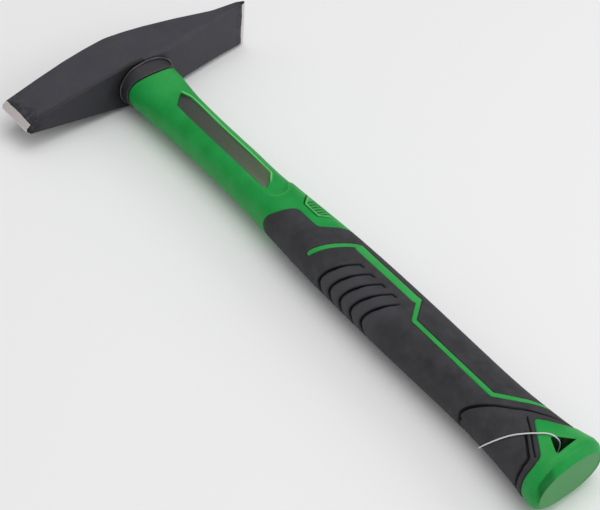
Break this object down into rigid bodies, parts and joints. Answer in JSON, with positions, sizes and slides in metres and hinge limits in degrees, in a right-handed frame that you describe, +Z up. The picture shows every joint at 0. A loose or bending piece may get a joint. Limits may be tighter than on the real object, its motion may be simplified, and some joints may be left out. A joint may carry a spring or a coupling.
{
  "type": "rock hammer",
  "caption": "Double-chisel rock hammer with a forged steel head, a moulded handle over a fibreglass core, a rubber grip and a lanyard hole.",
  "frame": {"origin": "centre of the bounding box at its lowest level, which is the surface that the hammer lies on", "axes": "+X along the handle from the head to the butt; +Y along the head towards the chisel whose edge is vertical here; +Z up, across the thickness of the handle"},
  "size_m": [0.371, 0.15, 0.0308],
  "materials": {
    "head_steel": "matt black coating on forged steel, with bare ground steel at both cutting edges",
    "core_fibreglass": "pultruded fibreglass rod",
    "black_resin": "glossy black epoxy",
    "collar_plastic": "satin black moulded plastic",
    "green_plastic": "satin green moulded plastic",
    "grip_rubber": "matt black moulded rubber",
    "badge_plastic": "plain dark grey printed plate",
    "string_nylon": "thin white nylon thread"
  },
  "bodies": {
    "root": {"hammer_head": "head_steel", "fibreglass_core": "core_fibreglass", "eye_epoxy": "black_resin", "head_collar": "collar_plastic", "collar_bead": "black_resin", "handle_shell": "green_plastic", "rubber_grip": "grip_rubber", "badge_upper": "badge_plastic", "badge_lower": "badge_plastic", "thumb_pad": "green_plastic", "tag_string": "string_nylon", "string_knot": "string_nylon"}
  },
  "joints": []
}
